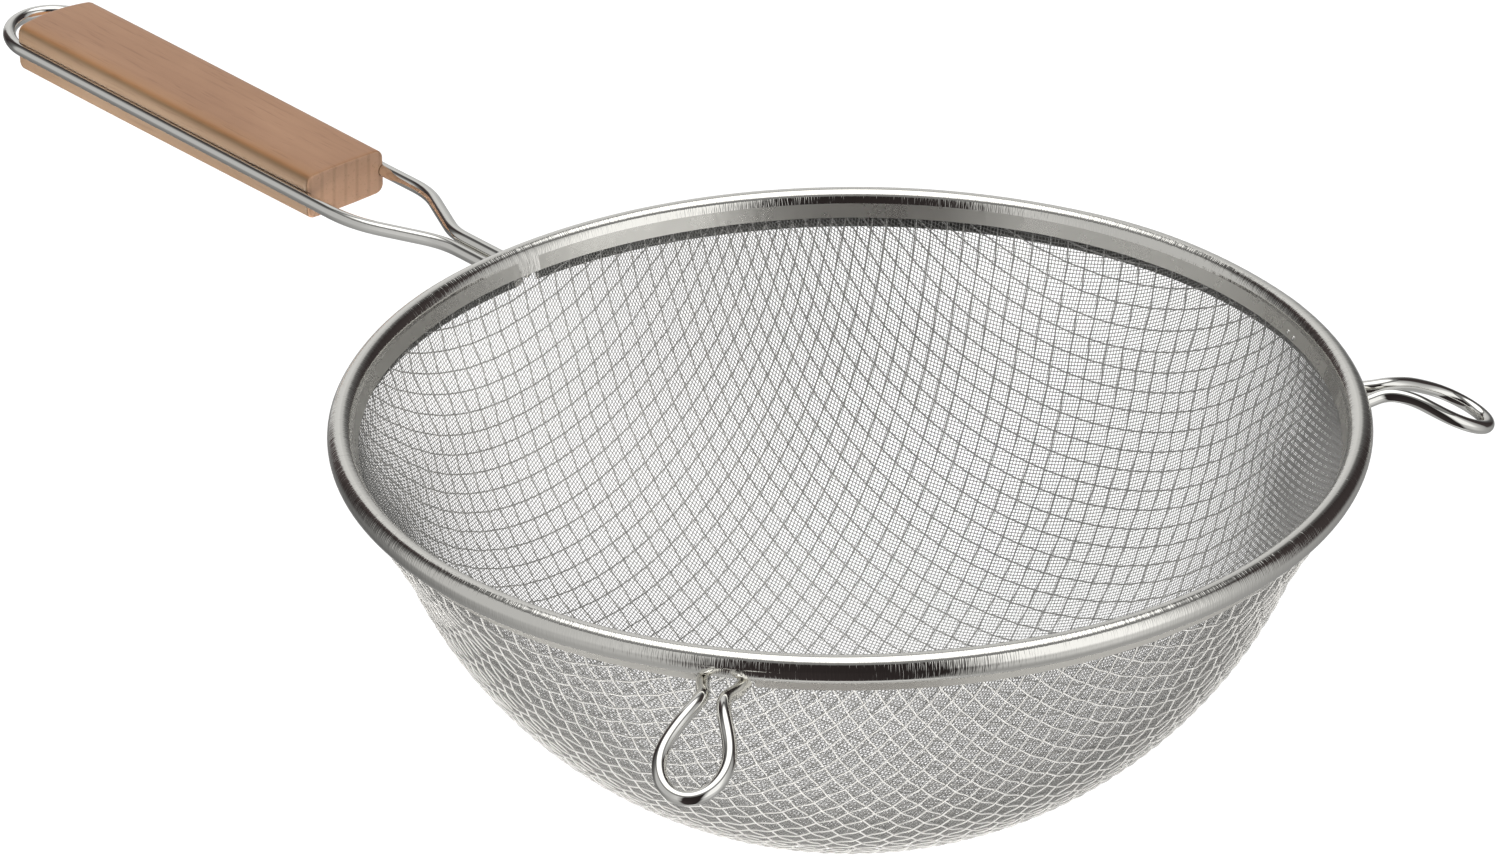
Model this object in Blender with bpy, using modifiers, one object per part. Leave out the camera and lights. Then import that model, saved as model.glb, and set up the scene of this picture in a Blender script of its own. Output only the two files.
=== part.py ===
"""A double mesh strainer: two nested woven bowls in one rolled steel rim, with a long handle of bent
wire and wood, and two wire hooks that rest on a pail. Metres, +Z up. The origin is on the bowl's axis,
in the plane of the pail's mouth that the hooks rest on. The handle runs towards -X."""

import math

import bmesh
import bpy
from mathutils import Vector

COLLECTION_NAME = "double_sieve_strainer"

# Rim: a sheet that stands up as an inner flange, rolls outwards, and comes down as an outer flange.
RIM_OUTER_RADIUS = 0.13335
ROLL_HALF_WIDTH = 0.00325
ROLL_HALF_HEIGHT = 0.00365
SHEET = 0.0005
FLANGE_SLOPE = math.radians(18.0)
INNER_FLANGE_DEPTH = 0.0032
OUTER_FLANGE_DEPTH = 0.0087
CORE_WIRE_RADIUS = 0.0023
CORE_WIRE_RISE = 0.0002
RIM_HEIGHT = 0.00625

# Meshes: thin shells that stand for the woven wire.
FINE_THICKNESS = 0.0006
COARSE_THICKNESS = 0.0011
MESH_TOP = -0.0022
BOWL_RADIUS = 0.1248
BOWL_CENTRE = 0.0157
FLARE_TOP = -0.0095
FLARE_BOTTOM = -0.0295
CLEARANCE = 0.0003

# Hooks: legs come out under the roll, pinch together, and open to a round loop that dips.
HOOK_ANGLE = math.radians(56.35)
HOOK_WIRE_RADIUS = 0.0018
HOOK_DROP = -0.0043
HOOK_ROOT = (0.1312, 0.0051)
HOOK_NECK = (0.1390, 0.0028)
HOOK_LOOP_CENTRE = 0.1620
HOOK_LOOP_RADIUS = 0.0083
HOOK_BEND_START = 0.1400
HOOK_BEND_END = 0.1500
HOOK_DIP = math.radians(27.0)

# Handle: one wire, bent to a U around the grip. Its frame rises slowly away from the bowl.
HANDLE_WIRE_RADIUS = 0.0019
HANDLE_RISE = math.radians(1.24)
HANDLE_DROP = -0.00815
LEG_SPACING = 0.00185
LEG_TWIST = 0.0008
LEG_LIFT = 0.0002
LEG_START = 0.1312
LEG_SPREAD_START = 0.1600
LEG_SPREAD_END = 0.1850
RAIL_SPACING = 0.0138
LOOP_START = 0.3365
LOOP_LENGTH = 0.0175
LOOP_SKEW = 0.0019

# Grip: a flat stick with rounded long edges, a crowned top and bottom, and a swelling in the middle.
GRIP_START = 0.2047
GRIP_END = 0.3405
GRIP_END_ARCH = 0.0022
GRIP_HALF_WIDTH = 0.0136
GRIP_HALF_THICKNESS = 0.0065
GRIP_EDGE = 0.0025
GRIP_CROWN = 0.0003
GRIP_SWELL_HEIGHT = 0.0004
GRIP_SWELL_WIDTH = 0.0003

STEPS = 60
CUT_MARGIN = 0.0003
SLOT_TOP = -0.0034
SLOT_BOTTOM = -0.0120
SLOT_INNER = 0.1270
SLOT_OUTER = 0.1400


def clear_scene():
    for obj in list(bpy.data.objects):
        bpy.data.objects.remove(obj, do_unlink=True)


def new_collection(name):
    collection = bpy.data.collections.new(name)
    bpy.context.scene.collection.children.link(collection)
    return collection


def material(name, colour, roughness, metallic):
    made = bpy.data.materials.new(name)
    made.use_nodes = True
    shader = made.node_tree.nodes["Principled BSDF"]
    shader.inputs["Base Color"].default_value = (*colour, 1.0)
    shader.inputs["Roughness"].default_value = roughness
    shader.inputs["Metallic"].default_value = metallic
    return made


def add_object(name, data, collection, surface=None):
    obj = bpy.data.objects.new(name, data)
    collection.objects.link(obj)
    if surface is not None:
        obj.data.materials.append(surface)
    return obj


def move_to(obj, collection):
    for owner in list(obj.users_collection):
        owner.objects.unlink(obj)
    collection.objects.link(obj)


def smooth(obj, angle_deg=35.0):
    obj.data.shade_smooth()
    obj.data.set_sharp_from_angle(angle=math.radians(angle_deg))


def smoothstep(value):
    value = min(max(value, 0.0), 1.0)
    return value * value * (3.0 - 2.0 * value)


def turned_shell(name, profile, thickness, collection, surface):
    """The (radius, height) profile turned about Z, with its thickness on the side away from its face."""
    mesh = bpy.data.meshes.new(name)
    outline = bmesh.new()
    points = [outline.verts.new((radius, 0.0, height)) for radius, height in profile]
    for first, second in zip(points, points[1:]):
        outline.edges.new((first, second))
    outline.to_mesh(mesh)
    outline.free()
    obj = add_object(name, mesh, collection, surface)
    obj.location.z = RIM_HEIGHT
    screw = obj.modifiers.new("turn", "SCREW")
    screw.axis = "Z"
    screw.steps = STEPS
    screw.render_steps = STEPS
    screw.use_merge_vertices = True
    screw.merge_threshold = 0.00001
    screw.use_smooth_shade = True
    solidify = obj.modifiers.new("sheet", "SOLIDIFY")
    solidify.thickness = thickness
    solidify.offset = -1.0
    solidify.use_even_offset = True
    return obj


def roll_centre():
    return RIM_OUTER_RADIUS - ROLL_HALF_WIDTH


def on_roll(angle):
    """A point on the roll's outside. Angle 0 points away from the bowl, 90 degrees points up."""
    radius = roll_centre() + ROLL_HALF_WIDTH * math.cos(angle)
    return radius, ROLL_HALF_HEIGHT * math.sin(angle)


def flange_face(height):
    """Radius of the inner flange's face, on the bowl side, at this height."""
    radius, top = on_roll(math.pi - FLANGE_SLOPE)
    return radius - (top - height) * math.tan(FLANGE_SLOPE)


def mesh_wall(height):
    """Radius of the coarse mesh's outside where it runs up between the flanges."""
    layers = SHEET + FINE_THICKNESS + COARSE_THICKNESS + 2.0 * CLEARANCE
    return flange_face(height) + layers / math.cos(FLANGE_SLOPE)


def outer_flange_face(height):
    return mesh_wall(height) + (CLEARANCE + SHEET) / math.cos(FLANGE_SLOPE)


def rim_profile():
    """Inner flange from its lower edge, up and over the roll, then the outer flange to its lower edge."""
    points = [(flange_face(-INNER_FLANGE_DEPTH), -INNER_FLANGE_DEPTH)]
    first = 180.0 - math.degrees(FLANGE_SLOPE)
    last = -98.0
    count = 13
    for index in range(count + 1):
        angle = math.radians(first + (last - first) * index / count)
        points.append(on_roll(angle))
    turn = -ROLL_HALF_HEIGHT - 0.0004
    points.append((outer_flange_face(turn), turn))
    points.append((outer_flange_face(-OUTER_FLANGE_DEPTH), -OUTER_FLANGE_DEPTH))
    return points


def bowl_outside():
    """The coarse mesh's outside: straight between the flanges, then easing into a sphere."""
    def sphere(height):
        return math.sqrt(BOWL_RADIUS ** 2 - (height - BOWL_CENTRE) ** 2)

    points = [(mesh_wall(MESH_TOP), MESH_TOP), (mesh_wall(FLARE_TOP), FLARE_TOP)]
    flare_steps = 3
    for index in range(1, flare_steps + 1):
        share = index / flare_steps
        height = FLARE_TOP + (FLARE_BOTTOM - FLARE_TOP) * share
        blend = smoothstep(share)
        points.append((mesh_wall(height) * (1.0 - blend) + sphere(height) * blend, height))
    start = math.asin((BOWL_CENTRE - FLARE_BOTTOM) / BOWL_RADIUS)
    arc_steps = 8
    for index in range(1, arc_steps + 1):
        angle = start + (math.pi / 2.0 - start) * index / arc_steps
        radius = BOWL_RADIUS * math.cos(angle) if index < arc_steps else 0.0
        points.append((radius, BOWL_CENTRE - BOWL_RADIUS * math.sin(angle)))
    return points


def inset(profile, distance):
    """The profile moved towards the bowl's inside by this distance, square to its own direction."""
    moved = []
    for index, (radius, height) in enumerate(profile):
        before = profile[max(index - 1, 0)]
        after = profile[min(index + 1, len(profile) - 1)]
        along = Vector((after[0] - before[0], after[1] - before[1])).normalized()
        if radius == 0.0:
            moved.append((0.0, height + distance))
        else:
            moved.append((radius + along.y * distance, height - along.x * distance))
    return moved


def slot_cutter(name, angle, half_width, collection):
    """A box across the outer flange and the underside of the roll, for wires that come out there."""
    bpy.ops.mesh.primitive_cube_add(size=1.0)
    cutter = bpy.context.object
    cutter.name = name
    middle = (SLOT_INNER + SLOT_OUTER) / 2.0
    height = RIM_HEIGHT + (SLOT_TOP + SLOT_BOTTOM) / 2.0
    cutter.location = (middle * math.cos(angle), middle * math.sin(angle), height)
    cutter.rotation_euler = (0.0, 0.0, angle)
    cutter.scale = (SLOT_OUTER - SLOT_INNER, 2.0 * half_width, SLOT_TOP - SLOT_BOTTOM)
    return as_cutter(cutter, collection)


def as_cutter(obj, collection):
    move_to(obj, collection)
    obj.hide_render = True
    obj.display_type = "WIRE"
    return obj


def cut(obj, cutter):
    boolean = obj.modifiers.new("cut_" + cutter.name, "BOOLEAN")
    boolean.operation = "DIFFERENCE"
    boolean.solver = "EXACT"
    boolean.object = cutter


def room_around(wire_object, cutters):
    """A cutter that follows a wire, thicker than the wire by the margin."""
    thick = wire_object.copy()
    thick.data = wire_object.data.copy()
    thick.data.bevel_depth += CUT_MARGIN
    cutters.objects.link(thick)
    bpy.context.view_layer.update()
    graph = bpy.context.evaluated_depsgraph_get()
    mesh = bpy.data.meshes.new_from_object(thick.evaluated_get(graph))
    place = thick.matrix_world.copy()
    bpy.data.objects.remove(thick)
    closed = bmesh.new()
    closed.from_mesh(mesh)
    bmesh.ops.remove_doubles(closed, verts=closed.verts, dist=0.00001)
    closed.to_mesh(mesh)
    closed.free()
    cutter = bpy.data.objects.new("room_" + wire_object.name, mesh)
    cutter.matrix_world = place
    return as_cutter(cutter, cutters)


def rim_band(collection, cutters, steel, rooms):
    obj = turned_shell("rim_band", rim_profile(), SHEET, collection, steel)
    hook_slot = HOOK_ROOT[1] + HOOK_WIRE_RADIUS + CUT_MARGIN
    handle_slot = LEG_SPACING + HANDLE_WIRE_RADIUS + CUT_MARGIN
    cut(obj, slot_cutter("slot_hook_near", -HOOK_ANGLE, hook_slot, cutters))
    cut(obj, slot_cutter("slot_hook_far", HOOK_ANGLE, hook_slot, cutters))
    cut(obj, slot_cutter("slot_handle", math.pi, handle_slot, cutters))
    for room in rooms:
        cut(obj, room)
    return obj


def rim_core_wire(collection, steel):
    bpy.ops.mesh.primitive_torus_add(
        major_radius=roll_centre(),
        minor_radius=CORE_WIRE_RADIUS,
        major_segments=STEPS,
        minor_segments=8,
        location=(0.0, 0.0, RIM_HEIGHT + CORE_WIRE_RISE),
    )
    obj = bpy.context.object
    obj.name = "rim_core_wire"
    move_to(obj, collection)
    obj.data.materials.append(steel)
    smooth(obj, 60.0)
    return obj


def wire(name, points, radius, collection, steel):
    curve = bpy.data.curves.new(name, "CURVE")
    curve.dimensions = "3D"
    curve.bevel_depth = radius
    curve.bevel_resolution = 2
    curve.use_fill_caps = True
    spline = curve.splines.new("POLY")
    spline.points.add(len(points) - 1)
    for point, place in zip(spline.points, points):
        point.co = (*place, 1.0)
    spline.use_smooth = True
    return add_object(name, curve, collection, steel)


def hook_half():
    """One half of the flattened hook, from its root to the middle of its loop, as (reach, side)."""
    root = Vector(HOOK_ROOT)
    neck = Vector(HOOK_NECK)
    centre = Vector((HOOK_LOOP_CENTRE, 0.0))
    apart = (centre - neck).length
    towards = math.atan2(neck.y - centre.y, neck.x - centre.x)
    touch = towards - math.acos(HOOK_LOOP_RADIUS / apart)
    entry = centre + HOOK_LOOP_RADIUS * Vector((math.cos(touch), math.sin(touch)))
    direction = (entry - neck).normalized()
    points = []
    curl_steps = 7
    for index in range(curl_steps + 1):
        share = index / curl_steps
        start = root.lerp(Vector((neck.x - 0.002, root.y)), share)
        end = neck - direction * (0.006 * (1.0 - share))
        points.append(start.lerp(end, smoothstep(share)))
    straight_steps = 7
    for index in range(1, straight_steps + 1):
        points.append(neck.lerp(entry, index / straight_steps))
    arc_steps = 10
    for index in range(1, arc_steps + 1):
        angle = touch * (1.0 - index / arc_steps)
        points.append(centre + HOOK_LOOP_RADIUS * Vector((math.cos(angle), math.sin(angle))))
    return points


def dipped(reach, side):
    """Bends the flat hook down: level up to the bend, then along the dip."""
    length = HOOK_BEND_END - HOOK_BEND_START
    bend_radius = length / HOOK_DIP
    turned = min(max(reach - HOOK_BEND_START, 0.0), length) / bend_radius
    past = max(reach - HOOK_BEND_END, 0.0)
    outward = min(reach, HOOK_BEND_START) + bend_radius * math.sin(turned) + past * math.cos(HOOK_DIP)
    down = bend_radius * (1.0 - math.cos(turned)) + past * math.sin(HOOK_DIP)
    return Vector((outward, side, HOOK_DROP - down))


def hook(name, angle, collection, steel):
    half = hook_half()
    flat = half + [Vector((point.x, -point.y)) for point in reversed(half[:-1])]
    obj = wire(name, [dipped(*point) for point in flat], HOOK_WIRE_RADIUS, collection, steel)
    obj.location = (0.0, 0.0, RIM_HEIGHT)
    obj.rotation_euler = (0.0, 0.0, angle)
    return obj


def handle_frame(collection):
    """An empty whose -X axis is the handle's middle line."""
    frame = bpy.data.objects.new("handle_frame", None)
    collection.objects.link(frame)
    frame.location = (0.0, 0.0, RIM_HEIGHT + HANDLE_DROP)
    frame.rotation_euler = (0.0, HANDLE_RISE, 0.0)
    return frame


def handle_leg(side):
    """One leg of the U, as (reach, side, height), from inside the rim to the start of the end loop."""
    foot_height = LEG_LIFT - side * LEG_TWIST
    points = [
        Vector((LEG_START, side * LEG_SPACING, foot_height)),
        Vector((LEG_SPREAD_START, side * LEG_SPACING, foot_height)),
        Vector((LEG_SPREAD_END, side * RAIL_SPACING, 0.0)),
        Vector((LOOP_START, side * RAIL_SPACING, 0.0)),
    ]
    return rounded_path(points, [0.006, 0.009])


def rounded_path(points, trims, steps=5):
    """The path with each inner corner rounded from a trim's length before it to the same length after."""
    path = [points[0]]
    for index, trim in enumerate(trims, start=1):
        corner = points[index]
        start = corner + (points[index - 1] - corner).normalized() * trim
        end = corner + (points[index + 1] - corner).normalized() * trim
        for step in range(steps + 1):
            share = step / steps
            path.append(start.lerp(corner, share).lerp(corner.lerp(end, share), share))
    path.append(points[-1])
    return path


def handle_wire(frame, collection, steel):
    near = handle_leg(1.0)
    far = handle_leg(-1.0)
    loop = []
    loop_steps = 14
    for index in range(1, loop_steps):
        angle = math.pi * (0.5 - index / loop_steps)
        reach = LOOP_START + LOOP_LENGTH * math.cos(angle)
        side = RAIL_SPACING * math.sin(angle) - LOOP_SKEW * math.cos(angle)
        loop.append(Vector((reach, side, 0.0)))
    path = near + loop + list(reversed(far))
    points = [(-reach, -side, height) for reach, side, height in path]
    obj = wire("handle_wire", points, HANDLE_WIRE_RADIUS, collection, steel)
    obj.parent = frame
    return obj


def shape_grip(part):
    """Crowns and swells the plain block, and arches its outer end."""
    length = GRIP_END - GRIP_START
    arch_start = GRIP_END - 0.012
    for vertex in part.verts:
        reach = -vertex.co.x
        across = vertex.co.y / GRIP_HALF_WIDTH
        up = vertex.co.z / GRIP_HALF_THICKNESS
        swell = math.sin(math.pi * 0.6 * (reach - GRIP_START) / length)
        arched = smoothstep((reach - arch_start) / (GRIP_END - arch_start))
        vertex.co.x += GRIP_END_ARCH * across ** 2 * arched
        vertex.co.y += across * GRIP_SWELL_WIDTH * swell
        vertex.co.z += up * (GRIP_CROWN * (1.0 - across * across) + GRIP_SWELL_HEIGHT * swell)


def wood_grip(frame, collection, wood, room):
    mesh = bpy.data.meshes.new("wood_grip")
    part = bmesh.new()
    bmesh.ops.create_cube(part, size=1.0)
    length = GRIP_END - GRIP_START
    size = Vector((length, 2.0 * GRIP_HALF_WIDTH, 2.0 * GRIP_HALF_THICKNESS))
    bmesh.ops.scale(part, vec=size, verts=part.verts)
    middle = (-(GRIP_START + GRIP_END) / 2.0, 0.0, 0.0)
    bmesh.ops.translate(part, vec=middle, verts=part.verts)
    for axis, cuts in ((0, 7), (1, 6)):
        edges = [edge for edge in part.edges if edge_runs_along(edge, axis)]
        bmesh.ops.subdivide_edges(part, edges=edges, cuts=cuts, use_grid_fill=True)
    rounded = [edge for edge in part.edges if on_rounded_edge(edge)]
    bmesh.ops.bevel(
        part, geom=rounded, offset=GRIP_EDGE, segments=3, profile=0.5, affect="EDGES", clamp_overlap=True
    )
    shape_grip(part)
    part.to_mesh(mesh)
    part.free()
    obj = add_object("wood_grip", mesh, collection, wood)
    obj.parent = frame
    smooth(obj, 40.0)
    cut(obj, room)
    return obj


def edge_runs_along(edge, axis):
    along = edge.verts[1].co - edge.verts[0].co
    return abs(along[axis]) > 0.9 * along.length


def on_rounded_edge(edge):
    """The four long edges, and the four edges around the outer end."""
    middle = (edge.verts[0].co + edge.verts[1].co) / 2.0
    at_side = abs(abs(middle.y) - GRIP_HALF_WIDTH) < 0.0001
    at_face = abs(abs(middle.z) - GRIP_HALF_THICKNESS) < 0.0001
    at_end = abs(middle.x + GRIP_END) < 0.0001
    return at_side + at_face + at_end > 1


def build():
    clear_scene()
    parts = new_collection(COLLECTION_NAME)
    cutters = new_collection("cutters")
    bright = material("bright_steel", (0.80, 0.79, 0.77), 0.12, 1.0)
    wire_steel = material("wire_steel", (0.78, 0.77, 0.75), 0.18, 1.0)
    core_steel = material("core_steel", (0.45, 0.45, 0.45), 0.45, 1.0)
    fine_steel = material("fine_mesh_steel", (0.62, 0.62, 0.61), 0.30, 1.0)
    coarse_steel = material("coarse_mesh_steel", (0.66, 0.66, 0.65), 0.28, 1.0)
    beech = material("varnished_beech", (0.66, 0.41, 0.23), 0.35, 0.0)

    outside = bowl_outside()
    turned_shell("coarse_outer_mesh", outside, COARSE_THICKNESS, parts, coarse_steel)
    inside = inset(outside, COARSE_THICKNESS + CLEARANCE)
    turned_shell("fine_inner_mesh", inside, FINE_THICKNESS, parts, fine_steel)
    frame = handle_frame(parts)
    handle = handle_wire(frame, parts, wire_steel)
    near = hook("hook_near", -HOOK_ANGLE, parts, wire_steel)
    far = hook("hook_far", HOOK_ANGLE, parts, wire_steel)
    rooms = [room_around(obj, cutters) for obj in (handle, near, far)]
    rim_band(parts, cutters, bright, rooms)
    rim_core_wire(parts, core_steel)
    wood_grip(frame, parts, beech, rooms[0])


build()
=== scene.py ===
"""The strainer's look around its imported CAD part: two woven meshes as real wire, a rolled and
crimped rim, bright bent wire, and a beech grip. Lengths are in metres, and heights are measured
from the rim's middle."""

import math

import bpy
import numpy as np
from mathutils import Matrix, Vector


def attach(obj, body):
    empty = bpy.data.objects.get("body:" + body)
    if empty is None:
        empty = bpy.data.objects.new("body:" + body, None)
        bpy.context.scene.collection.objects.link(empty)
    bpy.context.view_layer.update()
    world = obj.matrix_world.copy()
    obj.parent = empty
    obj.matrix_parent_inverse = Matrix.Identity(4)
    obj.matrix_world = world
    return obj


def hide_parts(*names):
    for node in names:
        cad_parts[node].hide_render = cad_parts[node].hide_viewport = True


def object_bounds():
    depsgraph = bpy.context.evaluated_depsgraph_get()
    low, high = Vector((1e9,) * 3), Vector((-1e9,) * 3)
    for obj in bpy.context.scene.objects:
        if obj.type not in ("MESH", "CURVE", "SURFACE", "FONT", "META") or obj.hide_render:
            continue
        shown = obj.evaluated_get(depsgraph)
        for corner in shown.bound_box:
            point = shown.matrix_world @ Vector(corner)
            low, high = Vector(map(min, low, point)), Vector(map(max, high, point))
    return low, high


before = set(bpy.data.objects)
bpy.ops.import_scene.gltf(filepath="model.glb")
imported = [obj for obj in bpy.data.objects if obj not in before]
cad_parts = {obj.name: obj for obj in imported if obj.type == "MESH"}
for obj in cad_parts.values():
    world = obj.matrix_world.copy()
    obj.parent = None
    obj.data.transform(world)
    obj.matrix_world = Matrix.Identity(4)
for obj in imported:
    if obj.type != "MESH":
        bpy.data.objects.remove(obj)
cad_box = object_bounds()

MM = 0.001
RIM_HEIGHT = 6.25 * MM
RIM_OUTER = 133.35 * MM
ROLL_WIDTH = 3.25 * MM
ROLL_HEIGHT = 3.65 * MM
SHEET = 0.5 * MM
SLOPE = math.radians(18.0)
INNER_DEPTH = 3.2 * MM
OUTER_DEPTH = 7.0 * MM
FLANGE_RADIUS = 128.0 * MM

BOWL_RADIUS = 124.8 * MM
BOWL_CENTRE = 15.7 * MM
MESH_TOP = -2.4 * MM
FINE_SHELL = 0.6 * MM
COARSE_SHELL = 1.1 * MM
GAP = 0.3 * MM
COARSE_PITCH = 5.4 * MM
COARSE_WIRE = 0.21 * MM
COARSE_LAY = (math.radians(-7.0), math.radians(-6.2), math.radians(9.5))
FINE_PITCH = 0.95 * MM
FINE_WIRE = 0.108 * MM
FINE_LAY = (math.radians(2.0), math.radians(2.3), math.radians(23.5))

HOOK_ANGLE = math.radians(56.35)
HOOK_WIRE = 1.8 * MM
HANDLE_WIRE = 1.9 * MM
HANDLE_RISE = math.radians(1.24)
HANDLE_DROP = -8.15 * MM
LEG_SPACING = 1.85 * MM
RAIL_SPACING = 13.8 * MM
LOOP_START = 336.5 * MM
LOOP_LENGTH = 17.5 * MM
LOOP_SKEW = 1.9 * MM
GRIP_START = 204.7 * MM
GRIP_END = 340.5 * MM
SEAM_ANGLE = math.radians(73.0)

NEAR_SIDE = math.radians(-42.8)
WALL_LIGHT = [
    (-180, 0.55), (-172, 0.65), (-152, 0.6), (-146, 0.08), (-128, 0.03), (-112, 0.15), (-102, 0.5),
    (-60, 0.5), (-42, 0.62), (-33, 0.4), (-27, 0.03), (19, 0.02), (25, 0.5), (34, 1.0), (62, 1.0),
    (78, 0.55), (98, 0.35), (107, 0.05), (142, 0.035), (160, 0.12), (172, 0.5), (180, 0.55),
]
GROUND_LIGHT = [
    (-180, 0.35), (-140, 0.12), (-112, 0.2), (-60, 0.45), (-42, 0.45), (-31, 0.04), (22, 0.02),
    (32, 0.5), (60, 0.62), (100, 0.35), (150, 0.25), (180, 0.35),
]
STEEP_LIGHT = [(-180, 0.4), (-60, 0.36), (-42, 0.32), (-30, 0.04), (24, 0.02), (38, 0.3), (180, 0.4)]


# ---------------------------------------------------------------- materials


def new_material(name):
    made = bpy.data.materials.new(name)
    made.use_nodes = True
    tree = made.node_tree
    return made, tree, tree.nodes["Principled BSDF"]


def node(tree, kind, **inputs):
    made = tree.nodes.new(kind)
    for name, value in inputs.items():
        made.inputs[name.replace("_", " ")].default_value = value
    return made


def math_node(tree, operation, first, second=None):
    made = tree.nodes.new("ShaderNodeMath")
    made.operation = operation
    for socket, value in zip(made.inputs, (first, second)):
        if value is None:
            continue
        if isinstance(value, (int, float)):
            socket.default_value = value
        else:
            tree.links.new(value, socket)
    return made.outputs["Value"]


def ramp(tree, factor, stops):
    made = tree.nodes.new("ShaderNodeValToRGB")
    elements = made.color_ramp.elements
    while len(elements) < len(stops):
        elements.new(0.5)
    for element, (place, colour) in zip(elements, stops):
        element.position = place
        element.color = (*colour, 1.0)
    tree.links.new(factor, made.inputs["Fac"])
    return made.outputs["Color"]


def bump(tree, shader, height, strength, distance):
    made = node(tree, "ShaderNodeBump", Strength=strength, Distance=distance)
    tree.links.new(height, made.inputs["Height"])
    tree.links.new(made.outputs["Normal"], shader.inputs["Normal"])


def plain_metal(name, colour, roughness, metallic=1.0):
    made, tree, shader = new_material(name)
    shader.inputs["Base Color"].default_value = (*colour, 1.0)
    shader.inputs["Metallic"].default_value = metallic
    shader.inputs["Roughness"].default_value = roughness
    return made


def worn_metal(name, colour, smooth, rough, grain):
    """Metal whose polish varies in soft patches."""
    made, tree, shader = new_material(name)
    shader.inputs["Base Color"].default_value = (*colour, 1.0)
    shader.inputs["Metallic"].default_value = 1.0
    place = tree.nodes.new("ShaderNodeTexCoord").outputs["Object"]
    noise = node(tree, "ShaderNodeTexNoise", Scale=grain, Detail=4.0, Roughness=0.6)
    tree.links.new(place, noise.inputs["Vector"])
    level = ramp(tree, noise.outputs["Fac"], [(0.35, (smooth,) * 3), (0.7, (rough,) * 3)])
    tree.links.new(level, shader.inputs["Roughness"])
    return made, tree, shader, place


def roll_metal():
    """Bright sheet with the fine uneven crimps across it that rolling leaves."""
    made, tree, shader, place = worn_metal("roll_steel", (0.93, 0.915, 0.865), 0.03, 0.07, 60.0)
    parts = tree.nodes.new("ShaderNodeSeparateXYZ")
    tree.links.new(place, parts.inputs["Vector"])
    angle = math_node(tree, "ARCTAN2", parts.outputs["Y"], parts.outputs["X"])
    across = tree.nodes.new("ShaderNodeCombineXYZ")
    tree.links.new(math_node(tree, "MULTIPLY", angle, 330.0), across.inputs["X"])
    tree.links.new(math_node(tree, "MULTIPLY", parts.outputs["Z"], 260.0), across.inputs["Y"])
    lines = node(tree, "ShaderNodeTexNoise", Scale=1.0, Detail=1.0, Roughness=0.4)
    tree.links.new(across.outputs["Vector"], lines.inputs["Vector"])
    ridges = ramp(tree, lines.outputs["Fac"], [(0.46, (0.0,) * 3), (0.62, (1.0,) * 3)])
    bump(tree, shader, ridges, 0.75, 0.00002)
    return made


def flange_metal():
    """The flat flanges, duller than the roll, with faint drawn lines along them."""
    made, tree, shader, place = worn_metal("flange_steel", (0.66, 0.65, 0.61), 0.24, 0.34, 90.0)
    shader.inputs["Metallic"].default_value = 0.85
    stretch = node(tree, "ShaderNodeMapping", Scale=(20.0, 20.0, 1600.0))
    tree.links.new(place, stretch.inputs["Vector"])
    lines = node(tree, "ShaderNodeTexNoise", Scale=1.0, Detail=3.0)
    tree.links.new(stretch.outputs["Vector"], lines.inputs["Vector"])
    bump(tree, shader, lines.outputs["Fac"], 0.15, 0.00005)
    return made


def wire_metal(name, grain, depth):
    """Bright drawn wire with faint draw lines, stretched by the grain."""
    made, tree, shader, place = worn_metal(name, (0.91, 0.9, 0.86), 0.02, 0.06, 120.0)
    bump(tree, shader, stretched_noise(tree, place, grain, 2.0), depth, 0.00003)
    return made


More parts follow.
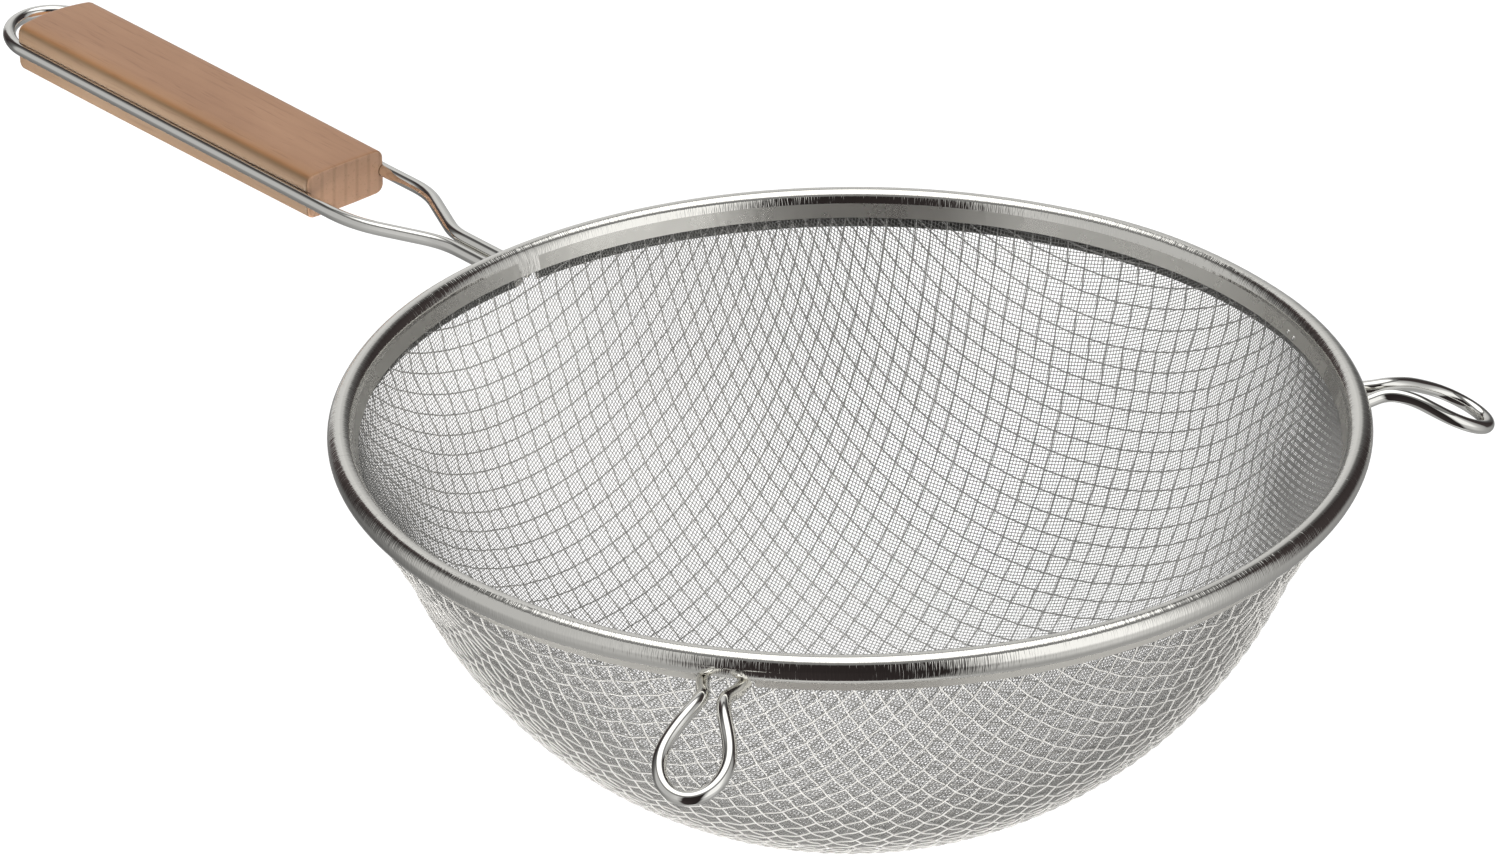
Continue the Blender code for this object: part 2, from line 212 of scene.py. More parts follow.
def beech():
    """Varnished beech: soft long grain with short flecks, golden at the near edge, with painted shade and
    sheen that make its flank darker and greyer, growth lines across the cut end and painted light that
    brightens it."""
    made, tree, shader = new_material("varnished_beech")
    seen = tree.nodes.new("ShaderNodeTexCoord")
    place = seen.outputs["Object"]
    facing = tree.nodes.new("ShaderNodeSeparateXYZ")
    tree.links.new(seen.outputs["Normal"], facing.inputs["Vector"])
    cut_end = edge(tree, facing.outputs["X"], 0.6, 0.9)
    broad = stretched_noise(tree, place, (16.0, 48.0, 45.0), 4.0)
    tones = [(0.25, (0.47, 0.245, 0.122)), (0.5, (0.55, 0.297, 0.153)), (0.75, (0.63, 0.353, 0.19))]
    tone = ramp(tree, broad, tones)
    fleck = stretched_noise(tree, place, (70.0, 1300.0, 1300.0), 2.0)
    dark = ramp(tree, fleck, [(0.30, (0.66, 0.58, 0.52)), (0.42, (1.0, 1.0, 1.0))])
    rings = node(tree, "ShaderNodeMapping", Rotation=(0.12, 0.0, 0.0), Scale=(3.0, 78.0, 14.0))
    tree.links.new(place, rings.inputs["Vector"])
    wave = node(tree, "ShaderNodeTexWave", Scale=1.0, Distortion=2.2, Detail=2.0, Detail_Scale=0.5)
    wave.bands_direction = "Y"
    tree.links.new(rings.outputs["Vector"], wave.inputs["Vector"])
    growth = ramp(tree, wave.outputs["Fac"], [(0.0, (0.84, 0.8, 0.78)), (0.3, (1.0, 1.0, 1.0))])
    parts = tree.nodes.new("ShaderNodeSeparateXYZ")
    tree.links.new(place, parts.inputs["Vector"])
    away = edge(tree, parts.outputs["Y"], -14.5 * MM, -6.0 * MM)
    near = math_node(tree, "SUBTRACT", 1.0, away)
    rim = math_node(tree, "MULTIPLY", near, edge(tree, facing.outputs["Z"], 0.3, 0.8))
    golden = ramp(tree, rim, [(0.0, (0.98, 0.96, 1.0)), (1.0, (0.95, 0.87, 0.72))])
    # Painted shade and sheen: faces turned to -Y are multiplied darker and greyer, standing in for how
    # light and the varnish's sheen fall on the flank.
    side = edge(tree, facing.outputs["Y"], -0.85, -0.35)
    painted_flank_shade_and_sheen = ramp(tree, side, [(0.0, (0.3, 0.37, 0.42)), (1.0, (1.0, 1.0, 1.0))])
    # Painted light: the cut end facing +X is brightened and made paler, standing in for the light that
    # falls on it; its growth lines are the wood's own.
    painted_end_light = ramp(tree, cut_end, [(0.0, (1.0, 1.0, 1.0)), (1.0, (1.3, 1.5, 1.8))])
    colour = mixed(tree, mixed(tree, mixed(tree, tone, dark, 0.4), golden, 1.0), painted_flank_shade_and_sheen, 1.0)
    lined = math_node(tree, "ADD", math_node(tree, "MULTIPLY", cut_end, 0.55), 0.2)
    colour = mixed(tree, mixed(tree, colour, growth, lined), painted_end_light, 1.0)
    tree.links.new(colour, shader.inputs["Base Color"])
    shader.inputs["Roughness"].default_value = 0.38
    shader.inputs["Coat Weight"].default_value = 0.2
    shader.inputs["Coat Roughness"].default_value = 0.22
    bump(tree, shader, fleck, 0.25, 0.00008)
    return made


def stretched_noise(tree, place, scale, detail):
    stretch = node(tree, "ShaderNodeMapping", Scale=scale)
    tree.links.new(place, stretch.inputs["Vector"])
    noise = node(tree, "ShaderNodeTexNoise", Scale=1.0, Detail=detail, Roughness=0.5, Distortion=0.4)
    tree.links.new(stretch.outputs["Vector"], noise.inputs["Vector"])
    return noise.outputs["Fac"]


def mixed(tree, first, second, share):
    """The first colour multiplied by the second, as far as the share."""
    made = tree.nodes.new("ShaderNodeMix")
    made.data_type = "RGBA"
    made.blend_type = "MULTIPLY"
    if isinstance(share, float):
        made.inputs["Factor"].default_value = share
    else:
        tree.links.new(share, made.inputs["Factor"])
    tree.links.new(first, made.inputs["A"])
    tree.links.new(second, made.inputs["B"])
    return made.outputs["Result"]


def paper():
    made, tree, shader = new_material("paper_floor")
    place = tree.nodes.new("ShaderNodeTexCoord").outputs["Object"]
    noise = node(tree, "ShaderNodeTexNoise", Scale=3.0, Detail=3.0)
    tree.links.new(place, noise.inputs["Vector"])
    tone = ramp(tree, noise.outputs["Fac"], [(0.3, (0.26, 0.26, 0.26)), (0.7, (0.28, 0.28, 0.28))])
    tree.links.new(tone, shader.inputs["Base Color"])
    shader.inputs["Roughness"].default_value = 0.9
    shader.inputs["Specular IOR Level"].default_value = 0.1
    shader.inputs["Emission Color"].default_value = (1.0, 1.0, 1.0, 1.0)
    shader.inputs["Emission Strength"].default_value = 0.92
    return made


# ---------------------------------------------------------------- mesh building


def mesh_object(name, points, faces, material, smooth_angle=None, indices=None):
    """A mesh object from an (n, 3) array of points and an (m, 4) array of quads. A triangle repeats its
    last point."""
    mesh = bpy.data.meshes.new(name)
    counts = np.where(faces[:, 2] == faces[:, 3], 3, 4)
    starts = np.concatenate([[0], np.cumsum(counts)[:-1]])
    corners = faces[np.arange(4)[None, :] < counts[:, None]]
    mesh.vertices.add(len(points))
    mesh.vertices.foreach_set("co", np.ascontiguousarray(points, np.float32).ravel())
    mesh.loops.add(len(corners))
    mesh.loops.foreach_set("vertex_index", corners.astype(np.int32))
    mesh.polygons.add(len(faces))
    mesh.polygons.foreach_set("loop_start", starts.astype(np.int32))
    if indices is not None:
        mesh.polygons.foreach_set("material_index", indices.astype(np.int32))
    mesh.update(calc_edges=True)
    mesh.validate()
    mesh.shade_smooth()
    if smooth_angle is not None:
        mesh.set_sharp_from_angle(angle=math.radians(smooth_angle))
    for used in material if isinstance(material, list) else [material]:
        mesh.materials.append(used)
    made = bpy.data.objects.new(name, mesh)
    bpy.context.scene.collection.objects.link(made)
    return made


def settle(obj, slot, *nodes):
    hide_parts(*nodes)
    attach(obj, "root")
    return obj


def unit(vectors):
    return vectors / np.linalg.norm(vectors, axis=-1, keepdims=True)


def tube(path, normals, radius, sides):
    """Points and quads of a closed tube along the path, its rings set up by the normals."""
    count = len(path)
    along = unit(np.gradient(path, axis=0))
    across = unit(np.cross(along, normals))
    upright = np.cross(across, along)
    turns = np.arange(sides) * 2.0 * math.pi / sides
    rings = (
        path[:, None, :]
        + radius * np.cos(turns)[None, :, None] * upright[:, None, :]
        + radius * np.sin(turns)[None, :, None] * across[:, None, :]
    )
    points = np.concatenate([rings.reshape(-1, 3), path[:1], path[-1:]])
    first = np.arange(count - 1)[:, None] * sides + np.arange(sides)[None, :]
    beside = np.arange(count - 1)[:, None] * sides + (np.arange(sides)[None, :] + 1) % sides
    walls = np.stack([first, beside, beside + sides, first + sides], axis=-1).reshape(-1, 4)
    ring = np.arange(sides)
    after = (ring + 1) % sides
    start, end = count * sides, count * sides + 1
    last = (count - 1) * sides
    low = np.stack([after, ring, np.full(sides, start), np.full(sides, start)], axis=-1)
    high = np.stack([ring + last, after + last, np.full(sides, end), np.full(sides, end)], axis=-1)
    return points, np.concatenate([walls, low, high])


def gathered(pieces):
    """Several (points, quads) pairs as one pair."""
    offset = 0
    points, faces = [], []
    for some_points, some_faces in pieces:
        points.append(some_points)
        faces.append(some_faces + offset)
        offset += len(some_points)
    return np.concatenate(points), np.concatenate(faces)


def smoothstep(value):
    value = np.clip(value, 0.0, 1.0)
    return value * value * (3.0 - 2.0 * value)


# ---------------------------------------------------------------- woven meshes


def flange_face(height):
    """Radius of the inner flange's face, on the bowl side, at this height."""
    tangent = math.pi - SLOPE
    radius = RIM_OUTER - ROLL_WIDTH + ROLL_WIDTH * math.cos(tangent)
    return radius - (ROLL_HEIGHT * math.sin(tangent) - height) * math.tan(SLOPE)


def mesh_wall(height):
    """Radius of the coarse mesh's outside where it runs up between the flanges."""
    layers = SHEET + FINE_SHELL + COARSE_SHELL + 2.0 * GAP
    return flange_face(height) + layers / math.cos(SLOPE)


def quarter_net(radius, pitch, count):
    """A quarter of a net of equal cells laid on a sphere from its lowest point, as directions from the
    centre. Each new knot lies one pitch from its two neighbours, so the cells shear towards the rim as
    cloth does."""
    step = pitch / radius
    reach = np.arange(count + 1) * step
    zero = np.zeros(count + 1)
    knots = np.full((count + 1, count + 1, 3), np.nan)
    knots[:, 0] = np.stack([np.sin(reach), zero, -np.cos(reach)], axis=1)
    knots[0, :] = np.stack([zero, np.sin(reach), -np.cos(reach)], axis=1)
    for total in range(2, 2 * count + 1):
        i = np.arange(max(1, total - count), min(count, total - 1) + 1)
        j = total - i
        first, second, behind = knots[i - 1, j], knots[i, j - 1], knots[i - 1, j - 1]
        cross = np.cross(first, second)
        middle = math.cos(step) / (1.0 + (first * second).sum(1))
        both = first + second
        left = 1.0 - middle**2 * (both**2).sum(1)
        with np.errstate(invalid="ignore"):
            aside = np.sqrt(left / (cross**2).sum(1))
        ahead = middle[:, None] * both + aside[:, None] * cross
        back = middle[:, None] * both - aside[:, None] * cross
        nearer = ((ahead - behind) ** 2).sum(1) > ((back - behind) ** 2).sum(1)
        knots[i, j] = np.where(nearer[:, None], ahead, back)
    return knots


def whole_net(radius, pitch, count):
    quarter = quarter_net(radius, pitch, count)
    net = np.full((2 * count + 1, 2 * count + 1, 3), np.nan)
    steps = np.arange(count + 1)
    for side_x in (1, -1):
        for side_y in (1, -1):
            turned = quarter * np.array([side_x, side_y, 1.0])
            net[np.ix_(count + side_x * steps, count + side_y * steps)] = turned
    return net


def on_bowl(directions, radius, inset):
    """Puts the net's directions on the bowl: a sphere below, easing into the flared wall under the rim."""
    height = BOWL_CENTRE + radius * directions[..., 2]
    with np.errstate(invalid="ignore"):
        sphere = np.sqrt(radius**2 - (height - BOWL_CENTRE) ** 2)
    share = smoothstep((height + 29.5 * MM) / (20.0 * MM))
    reach = (mesh_wall(height) - inset) * share + sphere * (1.0 - share)
    stretch = radius * reach / sphere
    return np.stack([directions[..., 0] * stretch, directions[..., 1] * stretch, height], axis=-1)


def laid(directions, lay):
    """Turns the net so that its middle lies where the cloth's middle was when the bowl was pressed."""
    over_x, over_y, around = (Matrix.Rotation(angle, 3, axis) for angle, axis in zip(lay, "XYZ"))
    return directions @ np.array(around @ over_x @ over_y).T


def turned(points, angle):
    cos, sin = math.cos(angle), math.sin(angle)
    return points @ np.array([[cos, sin, 0.0], [-sin, cos, 0.0], [0.0, 0.0, 1.0]])


def inside_run(heights, top):
    """First and last index of the run of knots below the top, around the lowest one, or None."""
    heights = np.where(np.isnan(heights), 1.0, heights)
    low = heights < top
    middle = int(heights.argmin())
    if not low[middle]:
        return None
    first = middle
    while first > 0 and low[first - 1]:
        first -= 1
    last = middle
    while last < len(heights) - 1 and low[last + 1]:
        last += 1
    return first, last


def woven_line(knots, normals, lift, index, run, steps):
    """The path of one wire that passes over and under its neighbours in turn, up to the mesh's top edge."""
    first, last = run
    lo, hi = max(first - 1, 0), min(last + 1, len(knots) - 1)
    places = knots[lo : hi + 1]
    facing = normals[lo : hi + 1]
    side = np.where((np.arange(lo, hi + 1) + index) % 2 == 0, 1.0, -1.0)
    spans = len(places) - 1
    at = np.arange(spans * steps + 1) / steps
    before = np.minimum(at.astype(int), spans - 1)
    share = (at - before)[:, None]
    path = places[before] * (1.0 - share) + places[before + 1] * share
    normal = unit(facing[before] * (1.0 - share) + facing[before + 1] * share)
    wave = side[before][:, None] * np.cos(math.pi * share)
    path = path + normal * wave * lift
    keep = ~np.isnan(path[:, 2])
    keep &= path[:, 2] < MESH_TOP + 0.4 * MM
    return path[keep], normal[keep]


def weave(name, radius, inset, pitch, wire, lay, sides, steps, bundles, material, slot, cad_node):
    """Both families of wires of one mesh. Each family is split into bundles to keep its pieces small."""
    count = int(215.0 * MM / pitch)
    directions = laid(whole_net(radius, pitch, count), lay)
    knots = on_bowl(directions, radius, inset)
    lift = wire * 1.02
    for family, label in enumerate(("warp", "weft")):
        grid = knots if family == 0 else knots.transpose(1, 0, 2)
        facing = directions if family == 0 else directions.transpose(1, 0, 2)
        wires = []
        for index in range(len(grid)):
            run = inside_run(grid[index, :, 2], MESH_TOP)
            if run is None or run[1] - run[0] < 3:
                continue
            path, normal = woven_line(
                grid[index], facing[index], lift * (1.0 if family == 0 else -1.0), index, run, steps
            )
            wires.append(tube(path + np.array([0.0, 0.0, RIM_HEIGHT]), normal, wire, sides))
        share = math.ceil(len(wires) / bundles)
        for bundle in range(bundles):
            some = wires[bundle * share : (bundle + 1) * share]
            points, faces = gathered(some)
            obj = mesh_object(f"{name}_{label}_{bundle + 1}", points, faces, material)
            settle(obj, slot, cad_node)


# ---------------------------------------------------------------- rim


def rim_face(count_inner, count_roll, count_outer):
    """The sheet's outer face as (radius, height, share along the outer flange), inner flange edge first."""
    points = []
    low, high = -INNER_DEPTH, ROLL_HEIGHT * math.sin(math.pi - SLOPE)
    for index in range(count_inner):
        height = low + (high - low) * index / count_inner
        points.append((flange_face(height), height, 0.0))
    start, end = math.pi - SLOPE, math.radians(-98.0)
    for index in range(count_roll + 1):
        angle = start + (end - start) * index / count_roll
        radius = RIM_OUTER - ROLL_WIDTH + ROLL_WIDTH * math.cos(angle)
        points.append((radius, ROLL_HEIGHT * math.sin(angle), 0.0))
    low = -ROLL_HEIGHT - 0.45 * MM
    for index in range(count_outer + 1):
        share = index / count_outer
        height = low + (-OUTER_DEPTH - low) * share
        face = mesh_wall(height) + (GAP + SHEET) / math.cos(SLOPE)
        points.append((face, height, max(share, 0.001)))
    return np.array(points)


def inward(profile):
    """Unit directions square to the profile, pointing into the sheet."""
    along = unit(np.gradient(profile[:, :2], axis=0))
    return np.stack([along[:, 1], -along[:, 0]], axis=1)


def rim_angles(count):
    """Even steps around the rim, with a close pair at each side of the hooks' openings and fine steps
    over the handle's legs."""
    angles = list(np.arange(count) * 2.0 * math.pi / count)
    for middle, half in openings():
        for edge in (middle - half, middle + half):
            angles = [a for a in angles if abs(wrapped(a - edge)) > 0.0022]
            angles += [(edge - 0.00015) % (2.0 * math.pi), (edge + 0.00015) % (2.0 * math.pi)]
    angles = [a for a in angles if abs(wrapped(a - math.pi)) > 0.034]
    angles += list(math.pi + np.linspace(-0.0335, 0.0335, 81))
    return np.array(sorted(angles))


def wrapped(angle):
    return (angle + math.pi) % (2.0 * math.pi) - math.pi


def openings():
    """(middle angle, half angle) of the openings in the outer flange for the hooks."""
    half = 7.2 * MM / FLANGE_RADIUS
    return [(-HOOK_ANGLE, half), (HOOK_ANGLE, half)]


def crimps(angle, height):
    """Small uneven wrinkles of the rolled sheet, as deep on the flanges as on the roll."""
    random = np.random.default_rng(7)
    wrinkle = np.zeros_like(angle)
    for _ in range(16):
        waves = random.integers(90, 330)
        size = random.uniform(0.4, 1.0)
        shift = random.uniform(0.0, 2.0 * math.pi)
        lean = random.uniform(-60.0, 60.0)
        wrinkle += size * np.sin(waves * angle + shift + lean * height / MM * 0.02)
    wander = np.zeros_like(angle)
    for _ in range(8):
        waves = random.integers(3, 17)
        shift = random.uniform(0.0, 2.0 * math.pi)
        wander += np.sin(waves * angle + shift)
    return 0.0035 * MM * wrinkle + 0.022 * MM * wander


def seam_shift(angle):
    """The lapped end of the strip, as a shift out of the sheet that dies away past the seam."""
    past = wrapped(angle - SEAM_ANGLE) * FLANGE_RADIUS
    rise = 1.0 / (1.0 + np.exp(np.clip(-past / (0.8 * MM), -40.0, 40.0)))
    return rise * np.exp(-((past / (7.0 * MM)) ** 2)) * -0.06 * MM


def weld_spots(material):
    """Two small domed welds on the inner flange beside the seam."""
    around = np.arange(16) * 2.0 * math.pi / 16
    out = np.array([-math.cos(SLOPE), 0.0, math.sin(SLOPE)])
    up = np.array([math.sin(SLOPE), 0.0, math.cos(SLOPE)])
    for index, (along, height) in enumerate(((-4.1 * MM, -1.8 * MM), (-7.3 * MM, -2.15 * MM))):
        middle = np.array([flange_face(height), 0.0, height + RIM_HEIGHT])
        rings = []
        for swell in np.linspace(0.0, 0.5 * math.pi, 7)[:-1]:
            reach = 0.75 * MM * math.cos(swell)
            spread = np.outer(np.cos(around), [0.0, reach, 0.0]) + np.outer(np.sin(around), reach * up)
            rings.append(middle + spread + out * (0.56 * MM * math.sin(swell) - 0.06 * MM))
        tips = np.stack([middle - out * 0.06 * MM, middle + out * 0.5 * MM])
        points = turned(np.concatenate(rings + [tips]), SEAM_ANGLE + along / flange_face(height))
        faces = loft_faces(len(rings), len(around))
        obj = mesh_object(f"weld_spot_{index + 1}", points, faces, material, 60.0)
        settle(obj, "rim_steel", "rim_band")


def pressed(points, paths, room):
    """Moves points that are too near a wire away from it, so the sheet closes over the wire."""
    for path in paths:
        for first, second in zip(path[:-1], path[1:]):
            line = second - first
            share = np.clip(((points - first) @ line) / (line @ line), 0.0, 1.0)
            away = points - (first + share[..., None] * line)
            distance = np.linalg.norm(away, axis=-1)
            near = distance < room
            if near.any():
                grown = away[near] / np.maximum(distance[near], 1e-6)[:, None] * room
                points[near] += grown - away[near]
    return points


def lower_edge(angles):
    """Height of the outer flange's lower edge: short above the hooks, and arched over the handle's legs."""
    edge = np.full(len(angles), -OUTER_DEPTH)
    top = -ROLL_HEIGHT - 0.5 * MM
    for middle, half in openings():
        edge[np.abs(wrapped(angles - middle)) < half] = top
    across = -wrapped(angles - math.pi) * FLANGE_RADIUS
    for side in (1.0, -1.0):
        centre = HANDLE_DROP + 2.8 * MM + 0.2 * MM - side * 0.8 * MM
        room = HANDLE_WIRE + 0.1 * MM
        away = across + side * LEG_SPACING
        over = np.abs(away) < room
        arch = centre + np.sqrt(np.maximum(room**2 - away**2, 0.0))
        edge[over] = np.maximum(edge[over], np.minimum(arch[over], top))
    return edge


def rim_band(roll, flange, painted_shade_face, wires):
    face = rim_face(7, 44, 11)
    profile = np.concatenate([face, face[::-3]])
    away = inward(face)
    depth = np.concatenate([np.zeros(len(face)), np.full(len(face[::-3]), SHEET)])
    square = np.concatenate([away, away[::-3]])
    angles = rim_angles(1040)
    radius = np.repeat(profile[None, :, 0], len(angles), axis=0)
    height = np.repeat(profile[None, :, 1], len(angles), axis=0)
    edge = np.repeat(profile[None, :, 2], len(angles), axis=0)
    around = np.repeat(angles[:, None], len(profile), axis=1)
    top = -ROLL_HEIGHT - 0.45 * MM
    raised = np.where(edge > 0.0, top + edge * (lower_edge(angles)[:, None] - top), height)
    radius = np.where(edge > 0.0, radius + (raised - height) * math.tan(SLOPE), radius)
    inside = depth[None, :] + seam_shift(around) + crimps(around, height)
    radius = radius + square[None, :, 0] * inside
    raised = raised + square[None, :, 1] * inside
    points = np.stack(
        [radius * np.cos(around), radius * np.sin(around), raised + RIM_HEIGHT], axis=-1
    )
    flat = pressed(points.reshape(-1, 3), wires, HOOK_WIRE - 0.2 * MM)
    short = lower_edge(angles) > -ROLL_HEIGHT - 1.0 * MM
    faces, indices = band_faces(short, len(profile), len(face))
    obj = mesh_object("rolled_rim", flat, faces, [roll, flange, painted_shade_face], 40.0, indices)
    return settle(obj, "rim_steel", "rim_band")


def band_faces(short, rows, face_rows):
    """Faces of the band and their materials. The short columns keep the roll's finish down to the edge."""
    columns = len(short)
    column = np.arange(columns)[:, None]
    row = np.arange(rows)[None, :]
    here = column * rows + row
    right = ((column + 1) % columns) * rows + row
    up = column * rows + (row + 1) % rows
    both = ((column + 1) % columns) * rows + (row + 1) % rows
    faces = np.stack([here, up, both, right], axis=-1).reshape(-1, 4)
    # Kind 0 is the roll, 1 the flanges and 2 the sheet's inner side, which takes the dark steel of painted
    # shade.
    kind = ((row < 6) | (row > 52)).astype(int) + (row >= face_rows)
    indices = np.where(short[:, None] & (kind == 1), 0, kind).ravel()
    return faces, indices


# ---------------------------------------------------------------- hooks and handle


def rounded(points, passes):
    """The path with its kinks eased: each point moves to the mean of itself and its neighbours."""
    path = np.array(points, float)
    for _ in range(passes):
        path[1:-1] = 0.25 * path[:-2] + 0.5 * path[1:-1] + 0.25 * path[2:]
    return path


def evenly(path, spacing):
    """The path sampled again at an even spacing."""
    lengths = np.linalg.norm(np.diff(path, axis=0), axis=1)
    reach = np.concatenate([[0.0], np.cumsum(lengths)])
    at = np.linspace(0.0, reach[-1], max(int(reach[-1] / spacing), 2) + 1)
    return np.stack([np.interp(at, reach, path[:, axis]) for axis in range(3)], axis=1)


def hook_flat():
    """Half of the hook laid flat, as (reach, side): root, pinched neck, flaring leg and round end."""
    root, neck = np.array([129.3, 5.1]) * MM, np.array([139.0, 2.8]) * MM
    centre, length, half_width = 159.5 * MM, 11.0 * MM, 8.3 * MM
    points = []
    for share in np.arange(14) / 14.0:
        start = root * (1.0 - share) + np.array([neck[0] - 2.0 * MM, root[1]]) * share
        end = np.array([neck[0] - 6.0 * MM * (1.0 - share), neck[1]])
        blend = smoothstep(share)
        points.append(start * (1.0 - blend) + end * blend)
    for share in np.arange(20) / 20.0:
        side = neck[1] + (half_width - neck[1]) * smoothstep(share)
        points.append(np.array([neck[0] + (centre - neck[0]) * share, side]))
    for angle in np.linspace(math.pi / 2.0, 0.0, 25):
        points.append(np.array([centre + length * math.cos(angle), half_width * math.sin(angle)]))
    return points


def dipped(reach, side):
    """Bends the flat hook down: level up to the bend, then along the dip."""
    start, end, dip = 140.0 * MM, 150.0 * MM, math.radians(27.0)
    bend = (end - start) / dip
    curled = min(max(reach - start, 0.0), end - start) / bend
    past = max(reach - end, 0.0)
    outward = min(reach, start) + bend * math.sin(curled) + past * math.cos(dip)
    down = bend * (1.0 - math.cos(curled)) + past * math.sin(dip)
    down += 1.1 * MM * smoothstep((141.0 * MM - reach) / (8.0 * MM))
    return outward, side, RIM_HEIGHT - 4.3 * MM - down


def hook_path(angle):
    half = hook_flat()
    flat = half + [np.array([point[0], -point[1]]) for point in reversed(half[:-1])]
    bent = np.array([dipped(*point) for point in flat])
    return turned(rounded(evenly(bent, 0.7 * MM), 6), angle)


def handle_leg(side):
    foot = 0.2 * MM - side * 0.8 * MM
    path = np.array(
        [
            (129.2 * MM, side * LEG_SPACING, foot),
            (160.0 * MM, side * LEG_SPACING, foot),
            (185.0 * MM, side * RAIL_SPACING, 0.0),
            (LOOP_START, side * RAIL_SPACING, 0.0),
        ]
    )
    trims = (6.0 * MM, 9.0 * MM) if side > 0 else (4.5 * MM, 6.0 * MM)
    points = [path[0]]
    for corner, trim in zip((1, 2), trims):
        start = path[corner] + unit(path[corner - 1] - path[corner]) * trim
        end = path[corner] + unit(path[corner + 1] - path[corner]) * trim
        for step in range(17):
            share = step / 16.0
            first = start * (1.0 - share) + path[corner] * share
            second = path[corner] * (1.0 - share) + end * share
            points.append(first * (1.0 - share) + second * share)
    points.append(path[-1])
    return points


def handle_path():
    """The handle wire in the row's frame: near leg out, around the end loop, and back along the far leg."""
    loop = []
    for index in range(1, 48):
        angle = math.pi * (0.5 - index / 48.0)
        reach = LOOP_START + LOOP_LENGTH * math.cos(angle)
        sideways = RAIL_SPACING * math.sin(angle) - LOOP_SKEW * math.cos(angle)
        loop.append(np.array([reach, sideways, 0.0]))
    path = np.array(handle_leg(1.0) + loop + handle_leg(-1.0)[::-1])
    path = rounded(evenly(path, 0.8 * MM), 4)
    return on_handle(path * np.array([-1.0, -1.0, 1.0]))


def on_handle(points):
    """From the handle's own frame, -X along it, to the row's frame."""
    cos, sin = math.cos(HANDLE_RISE), math.sin(HANDLE_RISE)
    tilt = np.array([[cos, 0.0, -sin], [0.0, 1.0, 0.0], [sin, 0.0, cos]])
    return points @ tilt + np.array([0.0, 0.0, RIM_HEIGHT + HANDLE_DROP])


def bent_wire(name, path, radius, material, cad_node):
    upright = np.tile(np.array([0.0, 0.0, 1.0]), (len(path), 1))
    points, faces = tube(path, upright, radius, 28)
    obj = mesh_object(name, points, faces, material, 60.0)
    return settle(obj, "wire_steel", cad_node)


# ---------------------------------------------------------------- grip


def wood_grip(material, wire_path):
    """A bellied stick with rounded edges, crowned faces and an arched outer end, grooved by the wire."""
    around, rings = 96, 150
    half_width, half_height, edge = 13.6 * MM, 6.5 * MM, 2.5 * MM
    turn = np.arange(around) * 2.0 * math.pi / around + math.pi / around
    reach = grip_stations(rings)
    loops = []
    for place in reach:
        to_end = GRIP_END - place
        from_start = place - GRIP_START
        inset = edge - math.sqrt(max(edge**2 - max(edge - to_end, 0.0) ** 2, 0.0))
        ease = 0.7 * MM
        inset += ease - math.sqrt(max(ease**2 - max(ease - from_start, 0.0) ** 2, 0.0))
        swell = math.sin(math.pi * 0.6 * from_start / (GRIP_END - GRIP_START))
        corner = max(edge - 0.5 * inset, 0.6 * MM)
        side, height = rounded_box(turn, half_width - inset, half_height - inset, corner)
        across = side / half_width
        side = side + across * 0.3 * MM * swell
        height = height + height / half_height * (0.3 * MM * (1.0 - across**2) + 0.4 * MM * swell)
        arch = 2.2 * MM * across**2 * smoothstep((place - GRIP_END + 12.0 * MM) / (12.0 * MM))
        loops.append(np.stack([-(place - arch), side, height], axis=1))
    points = np.concatenate(loops + [loops[0].mean(0)[None], loops[-1].mean(0)[None]])
    faces = loft_faces(len(loops), around)
    points = on_handle(points)
    obj = mesh_object("beech_grip", points, faces, material, 50.0)
    groove(obj, wire_path)
    return settle(obj, "beech", "wood_grip")


def grip_stations(rings):
    start = GRIP_START + 0.7 * MM * (1.0 - np.cos(np.linspace(0.0, math.pi / 2.0, 5)))
    end = GRIP_END - 2.5 * MM * (1.0 - np.sin(np.linspace(0.0, math.pi / 2.0, 12)))
    middle = np.linspace(start[-1], end[0], rings)[1:-1]
    return np.concatenate([start, middle, end])


def rounded_box(turn, half_width, half_height, corner):
    """Points of a rounded rectangle, one for each turn, spread evenly along its outline."""
    width, height = half_width - corner, half_height - corner
    sides = [2.0 * height, math.pi / 2.0 * corner, 2.0 * width, math.pi / 2.0 * corner] * 2
    reach = np.concatenate([[0.0], np.cumsum(sides)])
    at = turn / (2.0 * math.pi) * reach[-1]
    part = np.clip(np.searchsorted(reach, at, side="right") - 1, 0, 7)
    along = at - reach[part]
    x, y = np.zeros_like(at), np.zeros_like(at)
    corners = [(1, 1), (-1, 1), (-1, -1), (1, -1)]
    for index in range(4):
        straight = part == 2 * index
        bend = part == 2 * index + 1
        sign_x, sign_y = corners[index]
        angle = index * math.pi / 2.0
        normal = np.array([math.cos(angle), math.sin(angle)])
        forward = np.array([-math.sin(angle), math.cos(angle)])
        length = sides[2 * index]
        base = np.array([normal[0] * half_width, normal[1] * half_height])
        x[straight] = base[0] + forward[0] * (along[straight] - length / 2.0)
        y[straight] = base[1] + forward[1] * (along[straight] - length / 2.0)
        swing = angle + along[bend] / corner
        x[bend] = sign_x * width + corner * np.cos(swing)
        y[bend] = sign_y * height + corner * np.sin(swing)
    return x, y


def loft_faces(rings, around):
    ring = np.arange(rings - 1)[:, None] * around
    here = np.arange(around)[None, :]
    after = (here + 1) % around
    walls = np.stack([ring + here + around, ring + after + around, ring + after, ring + here], axis=-1)
    here, after = here.ravel(), after.ravel()
    start, end = np.full(around, rings * around), np.full(around, rings * around + 1)
    last = (rings - 1) * around
    low = np.stack([here, after, start, start], axis=-1)
    high = np.stack([after + last, here + last, end, end], axis=-1)
    return np.concatenate([walls.reshape(-1, 4), low, high])


